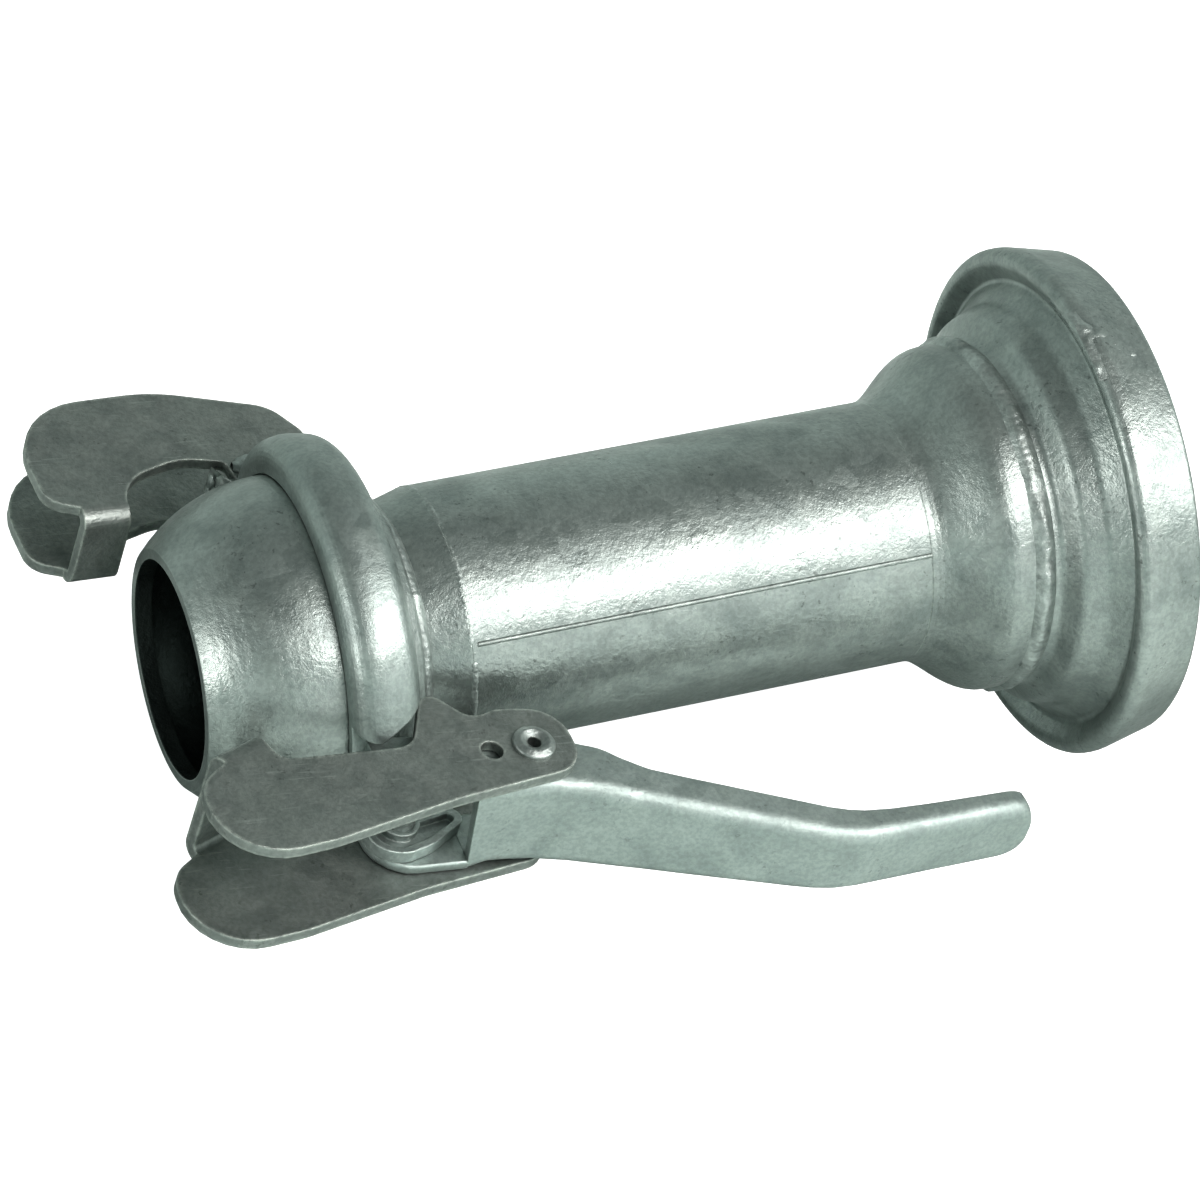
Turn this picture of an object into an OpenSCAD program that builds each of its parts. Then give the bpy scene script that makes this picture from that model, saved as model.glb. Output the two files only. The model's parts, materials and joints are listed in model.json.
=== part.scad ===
// Lever-lock quick coupling, reducing. A ball end carries a loose closure ring with a fixed
// hook, a lever and a swinging hook; a tube and a flare lead to a larger socket bell.
// Origin at the centre of the ball end's mouth face, +X along the pipe to the socket,
// +Y to the fixed hook, -Y to the lever, +Z up. All sizes in millimetres.

/* [Pipe] */
// Outside diameter of the long tube
tube_od = 88.9; // [87:0.1:90]
// Wall thickness of the tube and the pressed ends
wall = 3.5; // [3:0.1:4]
// X where the neck is welded to the long tube
front_weld_x = 88; // [86:0.5:92]
// X where the tube starts to flare
flare_start_x = 250; // [240:1:252]
// X where the flare is welded to the socket bell
rear_weld_x = 283; // [282:0.5:284]

/* [Ball end] */
// Outside diameter of the ball
ball_d = 112.8; // [112:0.2:114]
// Bore of the mouth
mouth_bore_d = 72.4; // [71:0.2:73]
// Length of the straight bore behind the mouth
mouth_bore_len = 6; // [4:0.5:8]
// X of the ball's back edge
ball_back_x = 70; // [69:0.5:71]
// Outside diameter of the neck behind the ball
neck_d = 82; // [80:0.5:84]

/* [Socket bell] */
// X of the socket's mouth face, which is the overall length of the pipe
bell_face_x = 329.3; // [328:0.1:332]
// Largest outside diameter of the rim
rim_d = 174.6; // [174:0.2:176]
// Outside diameter of the rim at its mouth
rim_mouth_d = 166.2; // [165:0.2:168]
// Bore of the socket in front of the seal
socket_bore_d = 158.4; // [157:0.2:159]
// Bore of the seat that holds the seal
seal_seat_d = 160; // [159.6:0.1:160.4]
// Inside diameter of the seal's lip
seal_lip_d = 138; // [136:0.5:142]

/* [Closure ring and hooks] */
// X of the point on the pipe axis that the hooks are laid out from
ring_x = 52; // [51:0.2:53]
// Pitch of the hooks and lever about Y, noses up, in degrees
hook_pitch = 8.5; // [7:0.5:10]
// Sheet thickness of the hooks
hook_sheet = 4; // [3.5:0.1:4]
// Height over the fixed hook's two cheeks
fixed_hook_height = 32; // [30:1:34]
// Height over the swing hook's two cheeks
swing_hook_height = 46; // [46:0.2:47]
// Bend radius, outside, between a hook's cheeks and its nose web
hook_bend = 6; // [5:0.5:7]

/* [Lever] */
// Sheet thickness of the lever
lever_sheet = 3.7; // [3.4:0.1:3.8]
// Height over the lever's cheeks at the pivots
lever_height = 37.4; // [37:0.1:37.4]
// Height over the lever at its grip
grip_height = 26; // [24:0.5:28]
// Diameter of the fulcrum pin
fulcrum_d = 10; // [9:0.5:10]
// Shank diameter of the hollow hook rivets
rivet_d = 8; // [7:0.5:8.5]
// Head diameter of the hollow hook rivets
rivet_head_d = 14.2; // [13:0.2:15]

/* [Hidden] */

$fn = 96;
eps = 0.01;
tube_r = tube_od / 2;
ball_r = ball_d / 2;
neck_r = neck_d / 2;
mouth_r_in = mouth_bore_d / 2;
mouth_r_out = mouth_r_in + wall;
// The ball is a sphere through the mouth's outer edge
ball_x = sqrt(ball_r * ball_r - mouth_r_out * mouth_r_out);
lip_x = ball_back_x + 1.5;
neck_start_x = ball_back_x - 6;
cone_start_x = ball_back_x + 5;
flare_r = 59;
rim_r = rim_d / 2;
rim_mouth_r = rim_mouth_d / 2;
socket_r = socket_bore_d / 2;
seal_seat_r = seal_seat_d / 2;
seal_front_x = bell_face_x - 6;
seal_back_x = 313;
seal_clear = 0.1;

// Closure ring: inner foot radii, crown and strap
ring_front_x = ring_x - 11;
ring_back_x = ring_x + 14.5;
ring_foot_r = ball_r + 0.5;
ring_tail_r = 53;
ring_crown_r = 67.9;
ring_sheet = 4;
strap_r = 59.6;
strap_front_x = ring_front_x;
strap_back_x = ring_x;
strap_sheet = 2.6;

// Pivots in the hook plane: u is forward-to-back, v is across
fulcrum = [4, -71.5];
rivet = [41.2, -73.8];
spare_hole = [26.6, -74.4];
spare_hole_r = 3.75;
running_clear = 0.06;
side_clear = 0.3;
lug_height = lever_height - 2 * lever_sheet - 2 * side_clear;
lug_sheet = 4.8;
lug_face = 2;

// ---- geometry helpers -------------------------------------------------------------------

function unit(v) = v / norm(v);

// Points of the arc that rounds corner p, between neighbours a and b, to radius r
function corner(p, a, b, r, n) =
    let (
        to_a = unit(a - p),
        to_b = unit(b - p),
        half = acos(to_a * to_b) / 2,
        centre = p + unit(to_a + to_b) * r / sin(half),
        start = p + to_a * r / tan(half) - centre,
        end = p + to_b * r / tan(half) - centre,
        a0 = atan2(start.y, start.x),
        turn = atan2(end.y, end.x) - a0,
        sweep = turn > 180 ? turn - 360 : turn < -180 ? turn + 360 : turn
    )
    [for (i = [0 : n]) centre + r * [cos(a0 + sweep * i / n), sin(a0 + sweep * i / n)]];

// A closed outline from corners [x, y, radius]
function rounded(pts, n = 8) =
    let (last = len(pts) - 1)
    [for (i = [0 : last])
        let (
            p = [pts[i].x, pts[i].y],
            before = pts[i == 0 ? last : i - 1],
            after = pts[i == last ? 0 : i + 1],
            a = [before.x, before.y],
            b = [after.x, after.y]
        )
        each (pts[i].z > 0 ? corner(p, a, b, pts[i].z, n) : [p])];

// Corner p moved sideways by d, to the left of the path a, p, b
function shifted(a, p, b, d) =
    let (
        m = unit(p - a),
        n = unit(b - p),
        left_m = [-m.y, m.x],
        left_n = [-n.y, n.x]
    )
    p + (left_m + left_n) * d / (1 + left_m * left_n);

// Radius of the ball's outside at x, and of its inside
function ball_at(x, r) = sqrt(r * r - (x - ball_x) * (x - ball_x));

// Radius along the flare, a smooth S from tube to bell
function flare_at(t) = tube_r + (flare_r - tube_r) * (1 - cos(180 * t)) / 2;

// Turns a profile of [x, radius] points about the pipe axis
module turned(profile) {
    rotate([0, 90, 0])
        rotate_extrude()
            polygon([for (p = profile) [p.y, p.x]]);
}

// Moves children into the plane of the hooks
module hook_frame() {
    translate([ring_x, 0, 0])
        rotate([0, hook_pitch, 0])
            children();
}

// A pair of equal plates, their outer faces height apart
module plate_pair(outline, height, sheet) {
    for (low = [-height / 2, height / 2 - sheet])
        translate([0, 0, low])
            linear_extrude(sheet)
                polygon(outline);
}

// The bent web that joins two cheeks at a hook's nose, outer face to the left of a to b
module nose_web(a, b, height) {
    half = height / 2;
    inner = half - hook_sheet;
    section = rounded([
        [-hook_bend, -half, 0], [0, -half, hook_bend - eps], [0, half, hook_bend - eps],
        [-hook_bend, half, 0], [-hook_bend, inner, 0],
        [-hook_sheet, inner, hook_bend - hook_sheet - eps],
        [-hook_sheet, -inner, hook_bend - hook_sheet - eps], [-hook_bend, -inner, 0]
    ]);
    translate([a.x, a.y, 0])
        rotate([0, 0, atan2(b.y - a.y, b.x - a.x)])
            rotate([90, 0, 90])
                linear_extrude(norm(b - a))
                    polygon(section);
}

// Cylinder across the hook plane at a pivot
module cross_pin(at, r, low, high) {
    translate([at.x, at.y, low])
        cylinder(r = r, h = high - low, $fn = 48);
}

// ---- pipe -------------------------------------------------------------------------------

// Pressed ball: sphere with a mouth in front and an inturned lip behind
module ball_nose() {
    inner_r = ball_r - wall;
    inner_start = ball_x - sqrt(inner_r * inner_r - mouth_r_in * mouth_r_in);
    first_x = max(mouth_bore_len, inner_start);
    steps = 20;
    outside = [for (i = [0 : steps])
        let (x = ball_back_x * i / steps) [x, ball_at(x, ball_r)]];
    inside = [for (i = [steps : -1 : 0])
        let (x = first_x + (ball_back_x - 4.5 - first_x) * i / steps) [x, ball_at(x, inner_r)]];
    color("silver")
        turned(concat(
            outside,
            [[lip_x, ball_at(ball_back_x, ball_r) - 2.5], [lip_x, neck_r], [lip_x - 4, neck_r]],
            inside,
            [[first_x, mouth_r_in], [0, mouth_r_in]]
        ));
}

// Short neck between the ball and the long tube
module neck() {
    color("silver")
        turned([
            [neck_start_x, neck_r - wall], [neck_start_x, neck_r], [cone_start_x, neck_r],
            [front_weld_x, tube_r], [front_weld_x, tube_r - wall], [cone_start_x, neck_r - wall]
        ]);
}

// Fillet weld between the ball's back lip and the neck
module ball_weld() {
    color("darkgray")
        turned([
            [lip_x, neck_r], [lip_x, neck_r + 3.6], [lip_x + 1.2, neck_r + 2.9],
            [lip_x + 2.6, neck_r + 1.4], [cone_start_x - eps, neck_r]
        ]);
}

// Low weld bead round the pipe, standing on a slope from r0 to r1
module bead(x0, r0, x1, r1, crown) {
    steps = 6;
    turned([for (i = [0 : steps])
        let (t = i / steps)
        [x0 + (x1 - x0) * t, r0 + (r1 - r0) * t + crown * sin(180 * t)]]);
}

module front_girth_weld() {
    slope_r = tube_r - (tube_r - neck_r) * 1.5 / (front_weld_x - cone_start_x);
    color("darkgray")
        difference() {
            bead(front_weld_x - 1.5, slope_r, front_weld_x + 1.5, tube_r, 0.5);
            neck();
            tube();
        }
}

module tube() {
    color("silver")
        turned([
            [front_weld_x, tube_r - wall], [front_weld_x, tube_r],
            [flare_start_x, tube_r], [flare_start_x, tube_r - wall]
        ]);
}

// Raised line of the tube's longitudinal seam
module tube_seam_weld() {
    seam_angle = 144.8;
    seam_half = 1.1;
    seam_high = 0.45;
    seam = concat(
        [for (i = [-2 : 2]) let (a = i * seam_half / 2) tube_r * [cos(a), sin(a)]],
        [for (i = [1 : -1 : -1])
            let (a = i * seam_half / 3) (tube_r + seam_high) * [cos(a), sin(a)]]
    );
    color("gainsboro")
        rotate([seam_angle, 0, 0])
            translate([front_weld_x + 2, 0, 0])
                rotate([90, 0, 90])
                    linear_extrude(flare_start_x - front_weld_x - 2)
                        polygon(seam);
}

// Trumpet from the tube's diameter to the bell's neck
module flare() {
    steps = 14;
    flare_end_x = rear_weld_x - 6;
    span = flare_end_x - flare_start_x;
    outside = [for (i = [0 : steps])
        [flare_start_x + span * i / steps, flare_at(i / steps)]];
    inside = [for (i = [steps : -1 : 0])
        [flare_start_x + span * i / steps, flare_at(i / steps) - wall]];
    color("silver")
        turned(concat(
            outside,
            [[rear_weld_x, flare_r], [rear_weld_x, flare_r - wall]],
            inside
        ));
}

module rear_girth_weld() {
    color("darkgray")
        bead(rear_weld_x - 3, flare_r, rear_weld_x + 4, flare_r, 1.6);
}

// Pressed bell: neck, shoulder, recessed back face and deep rim
module socket_bell() {
    shell = 4;
    outside = rounded([
        [rear_weld_x, flare_r, 0], [rear_weld_x + 7, flare_r, 4],
        [rear_weld_x + 11.5, flare_r + 7.4, 6], [rear_weld_x + 19.5, flare_r + 10.6, 7],
        [rear_weld_x + 26.2, rim_r - 11.2, 1.6], [rear_weld_x + 18.6, rim_r, 4],
        [rear_weld_x + 28, rim_r, 6],
        [bell_face_x, rim_mouth_r, 2.4], [bell_face_x, socket_r, 1],
        [seal_front_x, socket_r, 0], [seal_front_x, seal_seat_r, 0],
        [seal_back_x, seal_seat_r, 2], [seal_back_x, flare_r + 6.5, 4],
        [rear_weld_x + 14, flare_r + 3.8, 5], [rear_weld_x + 7, flare_r - shell, 5],
        [rear_weld_x, flare_r - shell, 0]
    ]);
    color("silver")
        turned(outside);
}

// Rubber seal with a tapered lip that the mating ball presses on
module seal_ring() {
    outer = seal_seat_r - seal_clear;
    lip = seal_lip_d / 2;
    back = seal_back_x + seal_clear;
    front = seal_front_x - 0.4;
    color("dimgray")
        turned(rounded([
            [back, outer, 2.2], [back, lip + 2, 2], [back + 3, lip, 2],
            [front - 3, lip + 5, 2], [front, outer - 3, 1.2], [front, outer, 0.6]
        ], 5));
}

// ---- closure ring -----------------------------------------------------------------------

ring_outline = [
    [ring_front_x, ring_foot_r, 0], [ring_front_x, ring_crown_r - 1.2, 8],
    [ring_x - 1, ring_crown_r + 0.4, 14], [ring_x + 10, ring_crown_r - 1.6, 8],
    [ring_back_x, ring_tail_r, 0]
];
ring_hollow = [
    [ring_back_x - ring_sheet, ring_tail_r, 0],
    [ring_x + 7, ring_crown_r - 5.2, 5], [ring_x - 1, ring_crown_r - 3.6, 12],
    [ring_front_x + ring_sheet, ring_crown_r - 4.8, 4.5],
    [ring_front_x + ring_sheet, ring_foot_r, 0]
];

// Everything inside the ring's outer surface, used to seat what is welded on it
module ring_envelope() {
    turned(concat(
        [[ring_front_x, 0]],
        rounded(concat([[ring_front_x, 1, 0]], ring_outline, [[ring_back_x, 1, 0]])),
        [[ring_back_x, 0]]
    ));
}

// Window that leaves the lever and the swing hook room at the ring's -Y side
module ring_window() {
    window = [
        [-14, 19.4], [-7, 19.6], [16, 37.5], [22, 37.5],
        [22, -37.5], [16, -37.5], [-7, -19.6], [-14, -19.4]
    ];
    hook_frame()
        rotate([90, 0, 0])
            linear_extrude(90)
                polygon(window);
}

// Narrow strap that carries the ring past the window
module ring_strap() {
    intersection() {
        turned([
            [strap_front_x, strap_r - strap_sheet], [strap_front_x, strap_r],
            [strap_back_x, strap_r], [strap_back_x, strap_r - strap_sheet]
        ]);
        translate([strap_front_x - 1, -80, -42])
            cube([30, 50, 84]);
    }
}

module closure_ring() {
    color("silver")
        union() {
            difference() {
                turned(rounded(concat(ring_outline, ring_hollow)));
                ring_window();
            }
            ring_strap();
        }
}

// ---- fixed hook -------------------------------------------------------------------------

fixed_fold_a = [-53.2, 47.7];
fixed_fold_b = [-69.4, 46.6];

// Corners of a hook's cheek where the nose bend starts
function fold_in(a, b) =
    let (along = unit(b - a), inward = [along.y, -along.x])
    [a + inward * hook_bend, b + inward * hook_bend];

module fixed_hook() {
    fold = fold_in(fixed_fold_a, fixed_fold_b);
    cheek = rounded([
        [fold[0].x, fold[0].y, 0], [fold[1].x, fold[1].y, 0],
        [-80.5, 56.5, 9], [-82.5, 99, 27], [-30, 103.5, 60], [9, 93, 14], [18, 79, 9],
        [13, 60, 0], [-13, 60, 0], [-14.5, 68.6, 3], [-30, 71.6, 24], [-50.8, 64, 17]
    ]);
    color("gray")
        difference() {
            hook_frame() {
                plate_pair(cheek, fixed_hook_height, hook_sheet);
                nose_web(fixed_fold_a, fixed_fold_b, fixed_hook_height);
            }
            ring_envelope();
        }
}

// Fillet welds along the fixed hook's cheeks, above, below and inside
module fixed_hook_welds() {
    leg = 4;
    half = fixed_hook_height / 2;
    color("darkgray")
        difference() {
            hook_frame()
                for (side = [-1, 1])
                    translate([-10, 62, side * half])
                        rotate([90, 0, 90])
                            linear_extrude(20)
                                polygon([[0, 0], [leg + 4.2, 0], [0, side * (leg + 3)]]);
            ring_envelope();
        }
}

// ---- lever lugs -------------------------------------------------------------------------

// Plate across the strap that the two lug plates stand on
module lug_bracket() {
    color("gray")
        difference() {
            hook_frame()
                translate([-8.6, -64, -lug_height / 2])
                    cube([20, 8, lug_height]);
            turned([[20, 0], [20, strap_r], [80, strap_r], [80, 0]]);
        }
}

// Pressed lug plates: a face near the lever's cheek, a rim turned inwards and a pin boss
module lug_plates() {
    outer = [
        [-8.6, -64, 0], [-8.4, -82.6, 9], [2.5, -85.4, 10], [12, -82.6, 20],
        [27.2, -73, 3.4], [22.4, -67.4, 3], [12.5, -69.6, 2], [11.4, -64, 0]
    ];
    pocket = [
        [-6, -60, 0], [-6, -80.7, 6.8], [2.2, -82.8, 8], [11.2, -80.2, 18],
        [23.2, -73, 1.6], [21.4, -70.4, 1.1], [8, -73.4, 0], [6, -60, 0]
    ];
    color("lightgray")
        hook_frame()
            difference() {
                plate_pair(rounded(outer), lug_height, lug_sheet);
                linear_extrude(lug_height - 2 * lug_face, center = true)
                    difference() {
                        polygon(rounded(pocket));
                        translate(fulcrum)
                            circle(r = fulcrum_d / 2 + 1.6, $fn = 48);
                    }
                cross_pin(fulcrum, fulcrum_d / 2 + running_clear, -lug_height, lug_height);
            }
}

// Fillets that hold the bracket, in front on the strap and behind it
module lug_welds() {
    leg = 2;
    color("darkgray")
        intersection() {
            union() {
                difference() {
                    hook_frame()
                        linear_extrude(20, center = true)
                            polygon([[-8.6 - leg, -58], [-8.6 - leg, -60], [-8.6, -62], [-8.6, -58]]);
                    turned([[20, 0], [20, strap_r], [80, strap_r], [80, 0]]);
                }
                turned([
                    [strap_back_x, strap_r - leg], [strap_back_x, strap_r],
                    [strap_back_x + leg, strap_r]
                ]);
            }
            translate([0, -80, -10])
                cube([80, 60, 20]);
        }
}

// ---- lever ------------------------------------------------------------------------------

module fulcrum_pin() {
    color("silver")
        hook_frame()
            cross_pin(fulcrum, fulcrum_d / 2, -lever_height / 2, lever_height / 2);
}

// Outer face of the lever's web in the hook plane, from the open front end to the grip's tip
web_front = [-8, -87.3];
web_bend = [46, -87.3];
web_elbow = [141, -119.8];
web_tip = [212.5, -113.2];

module lever_plan() {
    polygon(rounded([
        [-8, -67.5, 4], [web_front.x, web_front.y, 15], [web_bend.x, web_bend.y, 60],
        [web_elbow.x, web_elbow.y, 24], [web_tip.x, web_tip.y, 5], [212, -104.6, 3],
        [146, -107.8, 18], [75, -82.5, 20], [60, -67.5, 8]
    ], 8));
}

// Region between the cheeks: inside the web and open towards the pipe
module lever_hollow_plan() {
    t = lever_sheet;
    bend = shifted(web_front, web_bend, web_elbow, t);
    elbow = shifted(web_bend, web_elbow, web_tip, t);
    tip = shifted(web_bend, web_elbow, web_tip, t) + (web_tip - web_elbow) * 0.93;
    polygon(rounded([
        [-30, -50, 0], [-30, web_front.y + t, 0], [bend.x, bend.y, 60 - t],
        [elbow.x, elbow.y, 20], [tip.x, tip.y, 2], [tip.x, -90, 0], [150, -50, 0]
    ], 8));
}

// Height of the lever along its length, seen square to the web, inset by d
module lever_elevation(d) {
    pivot_h = lever_height / 2 - d;
    grip_h = grip_height / 2 - d;
    front = -12 - d;
    tip = 213 - 1.6 * d;
    polygon(rounded([
        [front, -pivot_h, 0], [60, -pivot_h, 40], [142, -grip_h - 0.8, 40], [tip, -grip_h, 9 - d],
        [tip, grip_h, 9 - d], [142, grip_h + 0.8, 40], [60, pivot_h, 40], [front, pivot_h, 0]
    ], 8));
}

module raised(height) {
    rotate([90, 0, 0])
        translate([0, 0, 40])
            linear_extrude(height)
                children();
}

module lever() {
    inner_h = lever_height / 2 - lever_sheet;
    color("silver")
        hook_frame()
            difference() {
                intersection() {
                    linear_extrude(lever_height, center = true)
                        lever_plan();
                    raised(100)
                        lever_elevation(0);
                }
                intersection() {
                    linear_extrude(lever_height + 2, center = true)
                        lever_hollow_plan();
                    raised(100)
                        lever_elevation(lever_sheet);
                }
                raised(100)
                    polygon([[-20, -inner_h], [24, -inner_h], [19, inner_h], [-20, inner_h]]);
                cross_pin(fulcrum, fulcrum_d / 2, -lever_height, lever_height);
                cross_pin(rivet, rivet_d / 2 + running_clear, -lever_height, lever_height);
            }
}

// ---- swing hook -------------------------------------------------------------------------

swing_fold_a = [-64.3, -63.1];
swing_fold_b = [-48.4, -56.5];

module swing_hook() {
    fold = fold_in(swing_fold_a, swing_fold_b);
    cheek = rounded([
        [fold[0].x, fold[0].y, 0], [fold[1].x, fold[1].y, 0], [-43.5, -69.8, 6],
        [1.2, -69.6, 9], [12.4, -45.4, 4.5], [24.4, -60.4, 7], [34, -57.4, 8],
        [55, -59.4, 13], [55.4, -84.6, 11], [8.7, -92.8, 60], [-36, -104.2, 60],
        [-75.5, -110, 21], [-72.5, -76, 12]
    ]);
    color("dimgray")
        hook_frame()
            difference() {
                union() {
                    plate_pair(cheek, swing_hook_height, hook_sheet);
                    nose_web(swing_fold_a, swing_fold_b, swing_hook_height);
                }
                cross_pin(rivet, rivet_d / 2, -swing_hook_height, swing_hook_height);
                cross_pin(spare_hole, spare_hole_r, -swing_hook_height, swing_hook_height);
            }
}

// Two hollow rivets, upper and lower, each with a dished head and a rolled tail
module hook_rivets() {
    shank_r = rivet_d / 2;
    bore_r = shank_r - 1.7;
    head_r = rivet_head_d / 2;
    head_low = swing_hook_height / 2;
    tail_high = lever_height / 2 - lever_sheet - side_clear;
    section = rounded([
        [bore_r, tail_high - 1.6, 0.6], [shank_r + 1.8, tail_high - 1.6, 0.6],
        [shank_r + 1.8, tail_high, 0.4], [shank_r, tail_high, 0], [shank_r, head_low, 0],
        [head_r, head_low, 0], [head_r, head_low + 1.3, 0.9], [shank_r + 0.8, head_low + 2.6, 0.8],
        [bore_r, head_low + 1.2, 0]
    ], 4);
    color("gainsboro")
        hook_frame()
            for (flip = [0, 180])
                translate([rivet.x, rivet.y, 0])
                    rotate([flip, 0, 0])
                        rotate_extrude($fn = 64)
                            polygon(section);
}

ball_nose();
neck();
ball_weld();
front_girth_weld();
tube();
tube_seam_weld();
flare();
rear_girth_weld();
socket_bell();
seal_ring();
closure_ring();
fixed_hook();
fixed_hook_welds();
lug_bracket();
lug_plates();
lug_welds();
fulcrum_pin();
lever();
swing_hook();
hook_rivets();
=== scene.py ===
import json
import math

import bmesh
import bpy
from mathutils import Matrix, Vector, noise


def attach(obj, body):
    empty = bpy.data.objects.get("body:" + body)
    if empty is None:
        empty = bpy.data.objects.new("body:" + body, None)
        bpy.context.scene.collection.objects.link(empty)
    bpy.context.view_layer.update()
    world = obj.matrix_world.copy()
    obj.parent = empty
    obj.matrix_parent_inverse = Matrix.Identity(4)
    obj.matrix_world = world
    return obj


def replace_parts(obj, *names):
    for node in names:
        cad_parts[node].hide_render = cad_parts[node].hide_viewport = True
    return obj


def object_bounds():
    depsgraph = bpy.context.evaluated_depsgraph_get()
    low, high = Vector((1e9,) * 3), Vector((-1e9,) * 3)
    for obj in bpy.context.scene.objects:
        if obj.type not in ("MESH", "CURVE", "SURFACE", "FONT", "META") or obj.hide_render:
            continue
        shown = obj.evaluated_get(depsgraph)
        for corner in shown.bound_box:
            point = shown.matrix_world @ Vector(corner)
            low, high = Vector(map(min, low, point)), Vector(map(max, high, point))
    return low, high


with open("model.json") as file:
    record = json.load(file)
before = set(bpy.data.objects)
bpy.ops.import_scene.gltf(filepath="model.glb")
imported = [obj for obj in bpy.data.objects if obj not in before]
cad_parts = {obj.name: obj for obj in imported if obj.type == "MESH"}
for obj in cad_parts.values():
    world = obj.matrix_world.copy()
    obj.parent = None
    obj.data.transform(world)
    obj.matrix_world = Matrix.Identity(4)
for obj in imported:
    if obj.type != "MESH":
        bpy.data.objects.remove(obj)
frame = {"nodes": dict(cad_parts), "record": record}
CAD_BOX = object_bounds()
NODES = frame["nodes"]
RECORD = frame["record"]
SLOTS = {m["slot"]: m for m in RECORD["materials"]}


# ---- shader helpers ---------------------------------------------------------------------

class Tree:
    """Short calls for building a node material."""

    def __init__(self, name):
        self.mat = bpy.data.materials.new(name)
        self.mat.use_nodes = True
        self.nodes = self.mat.node_tree.nodes
        self.links = self.mat.node_tree.links
        self.bsdf = self.nodes["Principled BSDF"]
        self.coord = self.nodes.new("ShaderNodeTexCoord").outputs["Object"]

    def put(self, socket, value):
        if isinstance(value, bpy.types.NodeSocket):
            self.links.new(value, socket)
        else:
            socket.default_value = value

    def add(self, kind, settings=None, **inputs):
        node = self.nodes.new(kind)
        for key, value in (settings or {}).items():
            setattr(node, key, value)
        for key, value in inputs.items():
            self.put(node.inputs[key.replace("_", " ")], value)
        return node

    def math(self, op, a, b=None, clamp=False):
        node = self.nodes.new("ShaderNodeMath")
        node.operation = op
        node.use_clamp = clamp
        self.put(node.inputs[0], a)
        if b is not None:
            self.put(node.inputs[1], b)
        return node.outputs[0]

    def noise(self, scale, detail=3.0, rough=0.5, distortion=0.0, vector=None):
        node = self.add("ShaderNodeTexNoise", Scale=scale, Detail=detail, Roughness=rough,
                        Distortion=distortion, Vector=vector or self.coord)
        return node.outputs["Fac"]

    def cells(self, scale):
        """A random colour for each cell."""
        return self.add("ShaderNodeTexVoronoi", Scale=scale, Vector=self.coord).outputs["Color"]

    def ramp(self, value, low, high, out_low=0.0, out_high=1.0):
        node = self.add("ShaderNodeMapRange", {"interpolation_type": "SMOOTHSTEP"})
        self.put(node.inputs["Value"], value)
        for key, number in (("From Min", low), ("From Max", high), ("To Min", out_low), ("To Max", out_high)):
            node.inputs[key].default_value = number
        return node.outputs["Result"]

    def mix(self, factor, a, b, blend="MIX"):
        node = self.nodes.new("ShaderNodeMix")
        node.data_type = "RGBA"
        node.blend_type = blend
        self.put(node.inputs["Factor"], factor)
        for socket, value in ((node.inputs[6], a), (node.inputs[7], b)):
            if isinstance(value, (tuple, list)):
                value = (value[0], value[1], value[2], 1.0)
            self.put(socket, value)
        return node.outputs[2]

    def bump(self, height, strength, distance, normal):
        node = self.add("ShaderNodeBump", Height=height, Strength=strength, Distance=distance, Normal=normal)
        return node.outputs["Normal"]

    def rounded_normal(self, radius):
        """The surface's normal with its sharp edges rounded off."""
        return self.add("ShaderNodeBevel", {"samples": 6}, Radius=radius).outputs["Normal"]

    def edge_mask(self, radius):
        """1 along sharp edges, 0 on open faces."""
        bevel = self.rounded_normal(radius)
        face = self.nodes.new("ShaderNodeNewGeometry").outputs["Normal"]
        dot = self.nodes.new("ShaderNodeVectorMath")
        dot.operation = "DOT_PRODUCT"
        self.links.new(bevel, dot.inputs[0])
        self.links.new(face, dot.inputs[1])
        return self.ramp(self.math("SUBTRACT", 1.0, dot.outputs["Value"]), 0.02, 0.16)

    def inward(self):
        """1 where the surface faces the pipe's axis ahead of the bell, 0 elsewhere: the mask for the painted
        shade inside the pipe.
        """
        place = self.add("ShaderNodeSeparateXYZ", Vector=self.coord)
        face = self.add("ShaderNodeSeparateXYZ", Vector=self.nodes.new("ShaderNodeTexCoord").outputs["Normal"])
        dot = self.math("ADD", self.math("MULTIPLY", place.outputs["Y"], face.outputs["Y"]),
                        self.math("MULTIPLY", place.outputs["Z"], face.outputs["Z"]))
        facing = self.ramp(dot, 0.002, -0.004)
        return self.math("MULTIPLY", facing, self.ramp(place.outputs["X"], 0.292, 0.286))

    def shade(self, color, rough, metallic, normal=None):
        self.put(self.bsdf.inputs["Base Color"], color)
        self.put(self.bsdf.inputs["Roughness"], rough)
        self.put(self.bsdf.inputs["Metallic"], metallic)
        if normal is not None:
            self.links.new(normal, self.bsdf.inputs["Normal"])
        return self.mat


def tone(color, factor, tint=(1.0, 1.0, 1.0)):
    """The colour made lighter or darker, and tinted."""
    return tuple(min(1.0, c * factor * t) for c, t in zip(color, tint))


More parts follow.
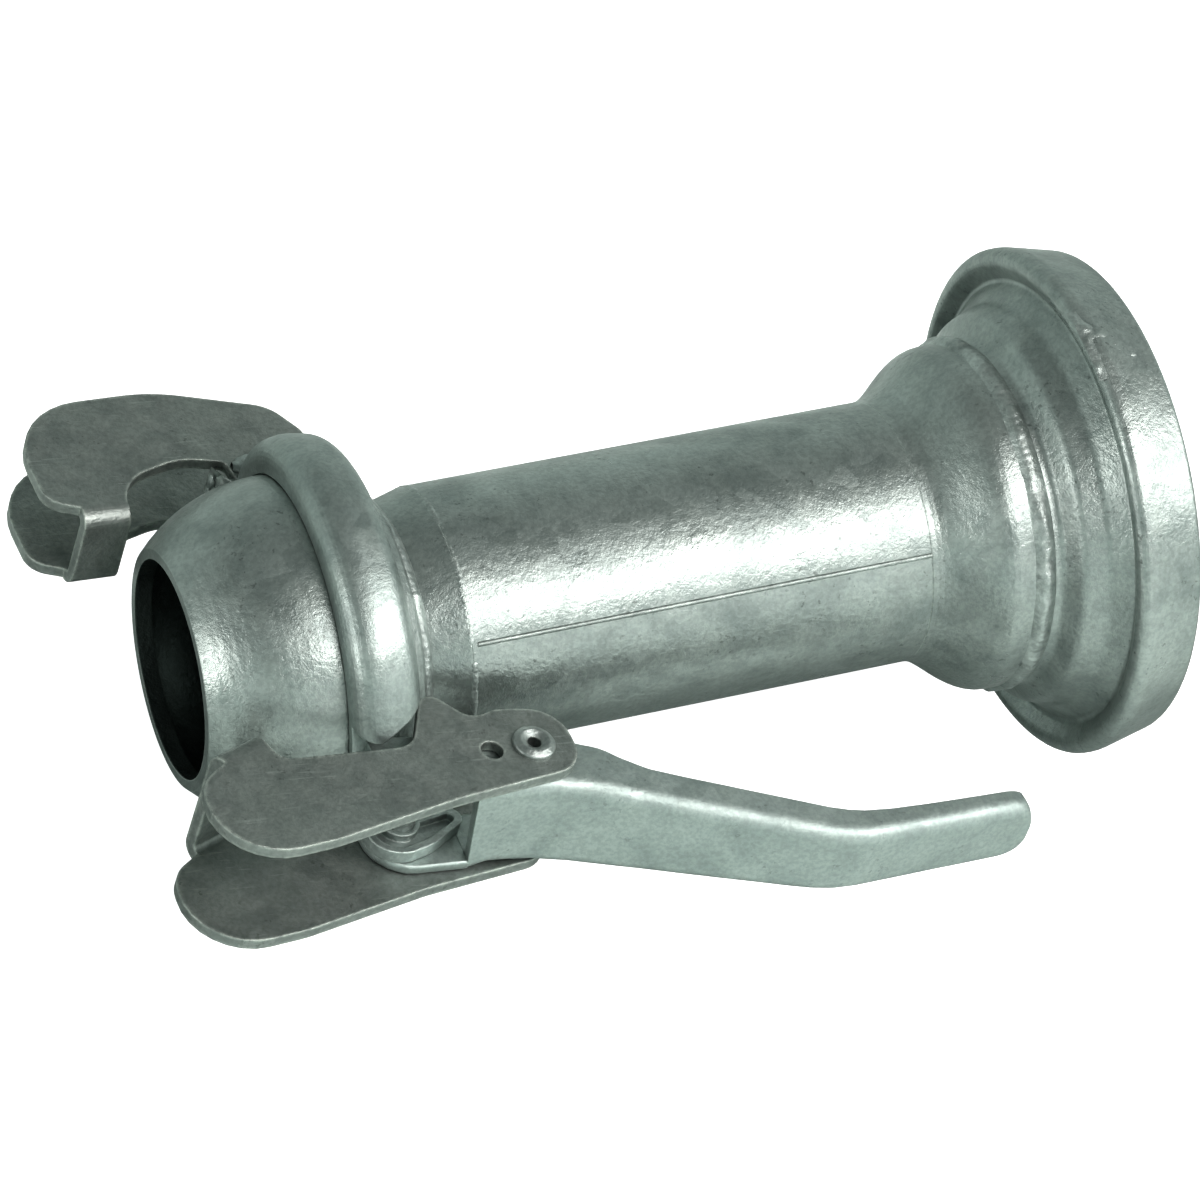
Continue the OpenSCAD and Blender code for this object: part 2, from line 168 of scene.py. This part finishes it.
def zinc(name, color, light=1.25, dark=0.72, rough=0.42, metallic=0.88, grain=0.5, cloud=34.0,
         spangle=0.25, edge=0.5, edge_radius=0.0011, scratches=0.0, painted_bore_shade=False, specks=0.0):
    """Hot-dip zinc: cloudy patches, faint spangle, fine grit, brighter worn edges; painted shade in crevices
    and, where asked, inside the pipe ahead of the bell.
    """
    t = Tree(name)
    cloudy = t.noise(cloud, 5.0, 0.58, 0.6)
    blotch = t.noise(cloud * 3.7, 4.0, 0.6, 0.4)
    fine = t.noise(620.0, 3.0, 0.6)
    grit = t.noise(1900.0, 2.0, 0.5)
    crystal = t.add("ShaderNodeSeparateColor", Color=t.cells(150.0)).outputs[0]
    body = t.mix(t.ramp(cloudy, 0.32, 0.68), tone(color, dark, (0.97, 1.0, 1.0)), tone(color, light))
    body = t.mix(t.ramp(blotch, 0.42, 0.7, 0.0, 0.4), body, tone(color, light * 1.12, (1.01, 1.0, 0.98)))
    body = t.mix(t.ramp(blotch, 0.5, 0.25, 0.0, 0.4), body, tone(color, dark * 0.86, (0.95, 1.0, 1.02)))
    body = t.mix(t.ramp(crystal, 0.1, 0.9, 0.0, spangle), body, tone(color, light * 1.05))
    body = t.mix(t.ramp(fine, 0.36, 0.64, 0.28, 0.0), body, tone(color, dark * 0.55))
    if specks:
        spots = t.math("MULTIPLY", t.ramp(t.noise(430.0, 2.0, 0.7), 0.60, 0.70),
                       t.ramp(t.noise(46.0, 3.0, 0.6), 0.48, 0.62, 0.1, 1.0))
        body = t.mix(t.math("MULTIPLY", spots, specks), body, tone(color, dark * 0.28))
    if scratches:
        stretch = t.add("ShaderNodeMapping", Scale=(60.0, 900.0, 260.0), Rotation=(0.0, 0.12, 0.35),
                        Vector=t.coord)
        lines = t.noise(1.0, 2.0, 0.55, 0.0, stretch.outputs["Vector"])
        body = t.mix(t.ramp(lines, 0.63, 0.72, 0.0, scratches), body, tone(color, light * 1.5))
    wear = t.math("MULTIPLY", t.edge_mask(edge_radius), t.ramp(t.noise(300.0, 4.0, 0.7), 0.38, 0.6, 0.15, 1.0))
    body = t.mix(t.math("MULTIPLY", wear, edge), body, tone(color, light * 1.7, (1.0, 1.0, 0.97)))
    # Painted shade: ambient occlusion darkens the colour in crevices and between parts.
    ao_painted_shade = t.add("ShaderNodeAmbientOcclusion", {"samples": 6}, Distance=0.014).outputs["AO"]
    body = t.mix(t.ramp(ao_painted_shade, 0.8, 0.2, 0.0, 0.45), body, tone(color, dark * 0.4))
    # Painted shade: the inside of the pipe ahead of the bell is coloured near black.
    if painted_bore_shade:
        body = t.mix(t.inward(), body, tone(color, 0.16, (0.9, 1.0, 0.98)))
    surface = t.rounded_normal(0.0008)
    surface = t.bump(cloudy, 0.22, 0.0030, surface)
    surface = t.bump(blotch, 0.25, 0.0010, surface)
    surface = t.bump(fine, 0.55 * grain, 0.00040, surface)
    surface = t.bump(grit, 0.45 * grain, 0.00018, surface)
    shine = t.math("ADD", t.ramp(cloudy, 0.3, 0.7, rough + 0.06, rough - 0.06),
                   t.ramp(crystal, 0.0, 1.0, -0.03, 0.05))
    shine = t.math("ADD", shine, t.math("MULTIPLY", wear, 0.08))
    return t.shade(body, shine, metallic, surface)


def rubber(name, color):
    """Moulded black rubber with a dusty bloom."""
    t = Tree(name)
    dust = t.noise(55.0, 5.0, 0.6)
    body = t.mix(t.ramp(dust, 0.45, 0.75, 0.0, 0.5), tone(color, 1.0), tone(color, 3.0))
    grain = t.noise(900.0, 3.0, 0.6)
    surface = t.bump(grain, 0.25, 0.0003, t.rounded_normal(0.0006))
    return t.shade(body, t.ramp(dust, 0.3, 0.7, 0.48, 0.7), 0.0, surface)


# ---- materials for the carried-over nodes -----------------------------------------------

FINISH = {
    "zinc_pipe": dict(light=1.10, dark=0.72, rough=0.36, cloud=30.0, grain=0.8, painted_bore_shade=True, specks=0.55),
    "zinc_weld": dict(light=1.15, dark=0.6, rough=0.42, cloud=90.0, grain=0.9, specks=0.4),
    "zinc_ring": dict(light=1.08, dark=0.78, rough=0.40, cloud=26.0, grain=0.5, specks=0.3),
    "zinc_hook": dict(light=1.20, dark=0.80, rough=0.46, cloud=38.0, grain=0.8, edge=1.0,
                      edge_radius=0.0024, scratches=0.35, specks=0.5),
    "zinc_lug": dict(light=1.1, dark=0.7, rough=0.42, cloud=60.0, grain=0.5, edge=0.8),
    "zinc_lever": dict(light=1.22, dark=0.92, rough=0.50, cloud=30.0, grain=0.5, edge=0.6,
                       edge_radius=0.0013, specks=0.35),
    "zinc_pin": dict(light=0.9, dark=0.5, rough=0.36, cloud=90.0, grain=0.5, edge=0.7),
}
GREEN_CAST = (0.95, 1.0, 0.98)
LOOK = {}
for slot_name, entry in SLOTS.items():
    if slot_name == "seal":
        LOOK[slot_name] = rubber("seal_rubber", entry["base_color"])
    else:
        metal = tone(entry["base_color"][:3], 1.05, GREEN_CAST)
        LOOK[slot_name] = zinc(slot_name, metal, **FINISH[slot_name])

for part in RECORD["subparts"]:
    shape = NODES[part["node"]]
    shape.data.materials.clear()
    shape.data.materials.append(LOOK[part["material_slot"]])


# ---- detailed pieces --------------------------------------------------------------------

def from_grid(name, rows, slot, body, closed=False, caps=False, sharp=38.0):
    """Skin over rows of points; closed joins each row's ends, caps fills the first and last."""
    form = bmesh.new()
    net = [[form.verts.new(p) for p in row] for row in rows]
    count = len(rows[0])
    for near, far in zip(net, net[1:]):
        for i in range(count if closed else count - 1):
            j = (i + 1) % count
            form.faces.new((near[i], near[j], far[j], far[i]))
    if caps:
        form.faces.new(list(reversed(net[0])))
        form.faces.new(net[-1])
    bmesh.ops.recalc_face_normals(form, faces=form.faces)
    for face in form.faces:
        face.smooth = True
    for edge in form.edges:
        if len(edge.link_faces) == 2 and edge.calc_face_angle(0.0) > math.radians(sharp):
            edge.smooth = False
    mesh = bpy.data.meshes.new(name)
    form.to_mesh(mesh)
    form.free()
    piece = bpy.data.objects.new(name, mesh)
    bpy.context.collection.objects.link(piece)
    mesh.materials.append(LOOK[slot])
    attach(piece, body)
    return piece


def mm(x, y, z):
    return Vector((x, y, z)) * 0.001


def grain_at(x, y, z, size, seed=0.0):
    """Smooth noise from about -1 to 1 with features of the given size in millimetres."""
    return noise.noise(Vector((x / size + seed, y / size - seed, z / size + 2 * seed)))


def weld_ring(name, node, x0, r0, x1, r1, crown, pitch, rough, seed):
    """A laid weld bead round the pipe: rippled crown, wavy toes, sunk a little at both edges."""
    across, around = 10, 540
    rows = []
    for i in range(around + 1):
        a = math.tau * (i % around) / around
        y, z = math.cos(a), math.sin(a)
        r_mid = (r0 + r1) / 2
        wander = 0.9 * grain_at(y * r_mid, z * r_mid, 0, 16, seed)
        swell = 1 + rough * grain_at(y * r_mid, z * r_mid, 5, 9, seed + 3)
        row = []
        for k in range(across + 1):
            t = k / across
            bow = math.sin(math.pi * t)
            phase = a * r_mid / pitch * math.tau + 2.2 * (t - 0.5) ** 2 * 4
            ripple = 0.10 * math.sin(phase) * bow
            x = x0 + (x1 - x0) * t + wander * (0.3 + 0.7 * bow)
            lump = rough * 0.5 * grain_at(x * 1.4, y * r_mid, z * r_mid, 3.2, seed + 7) * bow
            r = r0 + (r1 - r0) * t - 0.35 + (crown + 0.35) * bow * swell + ripple + lump
            row.append(mm(x, y * r, z * r))
        rows.append(row)
    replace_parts(from_grid(name, rows, "zinc_weld", "pipe", sharp=60), node)


def zinc_runs(name, x_range, angles, outline, bumps):
    """Frozen zinc runs: low lumps standing on a turned surface. bumps: (x, angle, long, wide, high)."""
    lengthwise, around, sunk = 48, 60, 0.25
    rows = []
    for i in range(lengthwise + 1):
        x = x_range[0] + (x_range[1] - x_range[0]) * i / lengthwise
        row = []
        for j in range(around + 1):
            a = math.radians(angles[0] + (angles[1] - angles[0]) * j / around)
            r = along(outline, x)
            high = 0.0
            for bx, angle, long, wide, top in bumps:
                dx = (x - bx) / long
                da = (a - math.radians(angle)) * r / wide
                wobble = 1 + 0.5 * grain_at(x, a * r, 0, 1.8, bx)
                high += top * wobble * math.exp(-(dx * dx + da * da) * 1.6)
            high += 0.18 * max(0.0, high) * grain_at(x * 1.3, a * r, 1, 0.9, 4)
            r += high - sunk
            row.append(mm(x, r * math.cos(a), r * math.sin(a)))
        rows.append(row)
    from_grid(name, rows, "zinc_weld", "pipe", sharp=75)


HOOK_PITCH = math.radians(8.5)
HOOK_X = 52


def hook_point(u, v, h):
    """Frame point of the hook plane's u (towards the bell), v (across) and h (up), in millimetres."""
    c, s = math.cos(HOOK_PITCH), math.sin(HOOK_PITCH)
    return mm(HOOK_X + u * c + h * s, v, -u * s + h * c)


def along(table, x):
    """Straight-line lookup in [(x, value), ...]."""
    if x <= table[0][0]:
        return table[0][1]
    for (x0, v0), (x1, v1) in zip(table, table[1:]):
        if x <= x1:
            return v0 + (v1 - v0) * (x - x0) / (x1 - x0)
    return table[-1][1]


# The lever along u: v of its web's outer face, its depth inside that face, and half its height.
WEB = [(-8, -68.8), (-7.6, -75.6), (-6, -79.8), (-2, -84.4), (3, -86.7), (7, -87.2), (20, -87.3),
       (36, -87.3), (46, -88.1), (58, -91.0), (72, -95.8), (90, -102.0), (110, -108.9), (126, -114.3),
       (134, -116.9), (141, -118.4), (149, -118.7), (158, -118.0), (172, -116.8), (190, -115.2),
       (206, -113.7), (212, -113.1)]
DEPTH = [(-8, 1.4), (-6.6, 10.5), (-3, 16.0), (7, 19.7), (40, 19.9), (52, 20.2), (60, 19.0), (66, 16.6),
         (75, 14.2), (90, 13.7), (120, 13.0), (141, 12.4), (150, 11.6), (160, 10.6), (185, 9.6), (212, 8.8)]
HALF = [(-8, 18.65), (50, 18.65), (62, 18.3), (80, 17.2), (104, 16.0), (131, 14.6), (150, 13.6), (175, 13.1),
        (204, 12.95), (207, 12.6), (209.5, 11.6), (211, 10.2), (212, 7.6)]
SHEET = 3.7
CHEEK_HALF = 18.65
CHANNEL_START = 21.5  # u where the cheeks end and the channel begins
CHANNEL_SLANT = 2.4  # how far that joint leans, at the edges
CHANNEL_BEND = 40  # u from which the web slopes


def web_slope(u):
    """Change of the web's v for each millimetre of u, smoothed over 5 mm."""
    return (along(WEB, u + 2.5) - along(WEB, u - 2.5)) / 5


def lever_place(u, deep, h):
    """Point at depth deep inside the web's outer face, square to it."""
    slope = web_slope(u) if u > CHANNEL_BEND else 0.0
    length = math.hypot(1, slope)
    du, dv = -slope / length, 1 / length
    soft = 0.10 * grain_at(u, deep * 0.6, h, 11, 5)
    return hook_point(u + du * (deep + soft), along(WEB, u) + dv * (deep + soft), h)


def lever_section(u):
    """Closed U section at one station: outer skin with rounded folds, then the inner skin."""
    deep, half = along(DEPTH, u), along(HALF, u)
    fold = min(5.2, 1.2 + 4.0 * max(0.0, min(1.0, (u - 20) / 9)))
    cavity = max(0.12, deep - SHEET) if u < 196 else 0.12
    inner_half = half - SHEET
    outer = [(deep, half - 0.7), (deep - 0.7, half)]
    outer += [(fold - fold * math.sin(t * math.pi / 16), half - fold + fold * math.cos(t * math.pi / 16))
              for t in range(9)]
    inner_r = min(1.8, cavity * 0.45)
    floor = deep - cavity
    inner = [(floor + inner_r - inner_r * math.sin(t * math.pi / 8),
              inner_half - inner_r + inner_r * math.cos(t * math.pi / 8)) for t in range(5)]
    loop = outer + [(d, -h) for d, h in reversed(outer)]
    loop += [(deep, -inner_half)] + [(d, -h) for d, h in inner]
    loop += list(reversed(inner)) + [(deep, inner_half)]
    row = []
    for d, h in loop:
        shift = -CHANNEL_SLANT * h / half * max(0.0, 1 - (u - CHANNEL_START) / 14)
        dent = 0.9 * math.exp(-(((u - 127) / 2.2) ** 2 + ((h + 8.5) / 4.5) ** 2)) if d < 1.5 else 0.0
        row.append(lever_place(u + shift, d + dent, h))
    return row


def make_lever():
    """One bent channel for the handle, and two flat cheeks that carry it past the fulcrum."""
    start = CHANNEL_START
    stations = [start + (206.0 - start) * i / 92 for i in range(93)] + [207.5, 209, 210.3, 211.3, 212]
    channel = from_grid("lever_channel", [lever_section(u) for u in stations], "zinc_lever", "lever",
                        closed=True, caps=True, sharp=42)
    for side, label in ((1, "upper"), (-1, "lower")):
        rows = []
        for u in (-7.9, -7.5, -6.9, -6, -4.5, -2.5, 0, 3, 7, 11, 15, start - CHANNEL_SLANT * side):
            deep = along(DEPTH, u)
            top, base = CHEEK_HALF, CHEEK_HALF - SHEET
            loop = [(0.0, base + 0.5), (0.5, base), (deep - 0.5, base), (deep, base + 0.5), (deep, top - 0.7),
                    (deep - 0.7, top), (0.9, top), (0.3, top - 0.25), (0.0, top - 0.9)]
            rows.append([lever_place(u, min(d, deep), side * h) for d, h in loop])
        from_grid("lever_cheek_" + label, rows, "zinc_lever", "lever", closed=True, caps=True, sharp=42)
    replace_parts(channel, "lever")


def hook_bead(name, side, depth, seed):
    """A rough fillet along one of the fixed hook's cheeks, where it meets the ring."""
    rows = []
    for i in range(41):
        t = i / 40
        u = -13.5 + 24 * t
        spine = 66.5 + 2.2 * math.sin(t * math.pi)
        row = []
        for k in range(15):
            a = math.pi * (k / 14)
            wide = 4.6 * math.sin(math.pi * min(1, max(0.02, t))) ** 0.4
            lump = 1 + 0.35 * grain_at(u, a * 4, depth, 3.0, seed)
            v = spine - 1.5 + wide * math.cos(a) * lump
            row.append(hook_point(u, v, side * (15.8 + 2.3 * math.sin(a) * lump)))
        rows.append(row)
    return from_grid(name, rows, "zinc_weld", "ring", sharp=70)


def root_weld():
    """The weld that bridges the fixed hook's two cheeks under its throat."""
    rows = []
    for i in range(25):
        h = -15.0 + 30.0 * (i / 24)
        face = []
        back = []
        for k in range(13):
            b = k / 12
            u = -19.5 + 10.5 * b
            v = 60.2 + 8.0 * (1 - b) ** 2.2 + 0.9 * grain_at(u, h, 0, 3.4, 3) - 0.004 * h * h
            face.append(hook_point(u, v, h))
            back.append(hook_point(u + 0.5, v - 2.0 * min(1, 0.25 + b), h))
        rows.append(face + back[::-1])
    from_grid("fixed_hook_root_weld", rows, "zinc_weld", "ring", closed=True, caps=True, sharp=70)


weld_ring("rear_girth_bead", "rear_girth_weld", 279.6, 58.6, 287.6, 59.6, 1.9, 2.6, 0.55, 1.3)
weld_ring("front_girth_bead", "front_girth_weld", 86.4, 44.1, 89.8, 44.4, 0.28, 2.0, 0.6, 4.1)
weld_ring("ball_bead", "ball_weld", 71.0, 45.2, 75.6, 41.0, 1.2, 2.3, 0.5, 6.2)
make_lever()
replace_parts(hook_bead("fixed_hook_bead_upper", 1, 0, 2), "fixed_hook_welds")
hook_bead("fixed_hook_bead_lower", -1, 6, 9)
root_weld()

RIM_LINE = [(303, 85.2), (304.5, 86.8), (308, 87.3), (311, 86.9), (318, 85.4), (326, 83.8), (329, 82.0)]
RIM_BUMPS = [
    (305.5, 91, 2.2, 5.0, 0.9), (308, 93.5, 3.4, 3.2, 0.8), (312, 96, 4.2, 2.4, 0.7),
    (306, 97.5, 1.6, 3.6, 0.7), (316, 98.5, 3.6, 1.8, 0.6), (320.5, 101.5, 3.4, 1.5, 0.55),
    (310, 101, 2.2, 1.6, 0.5), (305.4, 104, 1.4, 2.2, 0.6),
]
zinc_runs("rim_runs", (304.5, 327), (88, 107), RIM_LINE, RIM_BUMPS)


# ---- floor, light and camera ------------------------------------------------------------

FLOOR_DROP = 0.034  # clears the hooks and lever when the ring is turned under the pipe
FLOOR_RADIUS = 6
BACK = Vector((-0.3287, -0.6120, 0.7193)).normalized()
CAMERA_ROLL = math.radians(10.07)
CAMERA_DISTANCE = 1.7059
CAMERA_LENS = 159.28
WARM = (1.0, 0.945, 0.93)
SOFT_BOXES = [  # name, place, target, size, power
    ("strip", (0.70, -0.93, 1.23), (0.17, -0.02, 0.03), (1.35, 0.58), 24),
    ("left_box", (-1.24, -0.24, 0.36), (0.03, -0.02, 0.03), (0.50, 0.50), 5.5),
    ("right_box", (1.36, -0.57, 0.80), (0.31, -0.04, 0.06), (0.66, 0.56), 8.5),
    ("low_box", (0.62, -1.70, 0.20), (0.20, -0.05, 0.02), (1.80, 0.50), 2.6),
]


def make_floor():
    """Pale sheet under and behind the object; in reflections it is darker, with painted shade near the pipe's
    line.
    """
    mesh = bpy.data.meshes.new("floor")
    form = bmesh.new()
    z = CAD_BOX[0][2] - FLOOR_DROP
    ring = []
    for i in range(64):
        a = math.tau * i / 64
        ring.append(form.verts.new((0.16 + FLOOR_RADIUS * math.cos(a), FLOOR_RADIUS * math.sin(a), z)))
    form.faces.new(ring)
    form.to_mesh(mesh)
    form.free()
    floor = bpy.data.objects.new("floor", mesh)
    bpy.context.collection.objects.link(floor)
    t = Tree("pale_floor")
    seen = t.nodes.new("ShaderNodeLightPath").outputs["Is Camera Ray"]
    place = t.add("ShaderNodeSeparateXYZ", Vector=t.coord)
    # Painted shade: in reflections the floor near the pipe's line is dark, standing in for the object's shadow
    # and occlusion.
    open_ground = t.ramp(t.math("ABSOLUTE", place.outputs["Y"]), 0.09, 0.17)
    ground_with_painted_shade = t.mix(open_ground, (0.20, 0.235, 0.225), (0.72, 0.80, 0.77))
    mat = t.shade(t.mix(seen, ground_with_painted_shade, (0.9, 0.9, 0.9)), 0.9, 0.0)
    t.bsdf.inputs["Emission Color"].default_value = (1.0, 1.0, 1.0, 1.0)
    t.put(t.bsdf.inputs["Emission Strength"], t.math("MULTIPLY", seen, 0.8))
    t.bsdf.inputs["Specular IOR Level"].default_value = 0.0
    mesh.materials.append(mat)


def aim(obj, target, roll=0.0):
    """Point the object's -Z at the target, turned by roll about its own axis."""
    back = (obj.location - target).normalized()
    right = Vector((0, 0, 1)).cross(back).normalized()
    up = back.cross(right)
    c, s = math.cos(roll), math.sin(roll)
    x = right * c + up * s
    y = back.cross(x)
    obj.rotation_euler = Matrix((x, y, back)).transposed().to_euler()


def area_light(name, place, target, size, power):
    data = bpy.data.lights.new(name, "AREA")
    data.shape = "RECTANGLE"
    data.size, data.size_y = size
    data.energy = power
    data.color = WARM
    lamp = bpy.data.objects.new(name, data)
    lamp.location = place
    bpy.context.collection.objects.link(lamp)
    aim(lamp, Vector(target))


def camera_axes():
    """The camera's right and up directions."""
    side = Vector((0, 0, 1)).cross(BACK).normalized()
    over = BACK.cross(side)
    right = side * math.cos(CAMERA_ROLL) + over * math.sin(CAMERA_ROLL)
    return right, BACK.cross(right)


def make_studio():
    """White backdrop for the camera, a darker room in reflections, and soft boxes."""
    def spread(value, start, end, first, last):
        node = nodes.new("ShaderNodeMapRange")
        links.new(value, node.inputs["Value"])
        for key, number in (("From Min", start), ("From Max", end), ("To Min", first), ("To Max", last)):
            node.inputs[key].default_value = number
        return node.outputs["Result"]

    world = bpy.data.worlds.new("studio")
    bpy.context.scene.world = world
    world.use_nodes = True
    nodes, links = world.node_tree.nodes, world.node_tree.links
    room = nodes["Background"]
    room.inputs["Color"].default_value = (0.86, 1.0, 0.945, 1)
    sky = nodes.new("ShaderNodeSeparateXYZ")
    links.new(nodes.new("ShaderNodeTexCoord").outputs["Generated"], sky.inputs[0])
    level = nodes.new("ShaderNodeMath")
    level.operation = "MULTIPLY"
    links.new(spread(sky.outputs["Z"], 0.0, 0.85, 0.95, 0.24), level.inputs[0])
    links.new(spread(sky.outputs["Y"], -0.9, 0.6, 1.15, 0.8), level.inputs[1])
    links.new(level.outputs[0], room.inputs["Strength"])
    white = nodes.new("ShaderNodeBackground")
    white.inputs["Color"].default_value = (1, 1, 1, 1)
    white.inputs["Strength"].default_value = 1.0
    choose = nodes.new("ShaderNodeMixShader")
    links.new(nodes.new("ShaderNodeLightPath").outputs["Is Camera Ray"], choose.inputs[0])
    links.new(room.outputs[0], choose.inputs[1])
    links.new(white.outputs[0], choose.inputs[2])
    links.new(choose.outputs[0], nodes["World Output"].inputs["Surface"])
    for box in SOFT_BOXES:
        area_light(*box)


def make_camera():
    """From above the ball end, with a long lens, rolled a little."""
    right, up = camera_axes()
    target = right * 0.1384 + up * 0.0224
    data = bpy.data.cameras.new("camera")
    data.lens = CAMERA_LENS
    data.sensor_width = 36.0
    camera = bpy.data.objects.new("camera", data)
    camera.location = target + BACK * CAMERA_DISTANCE
    bpy.context.collection.objects.link(camera)
    aim(camera, target, CAMERA_ROLL)
    bpy.context.scene.camera = camera
    bpy.context.scene.view_settings.view_transform = "Standard"


make_floor()
make_studio()
make_camera()
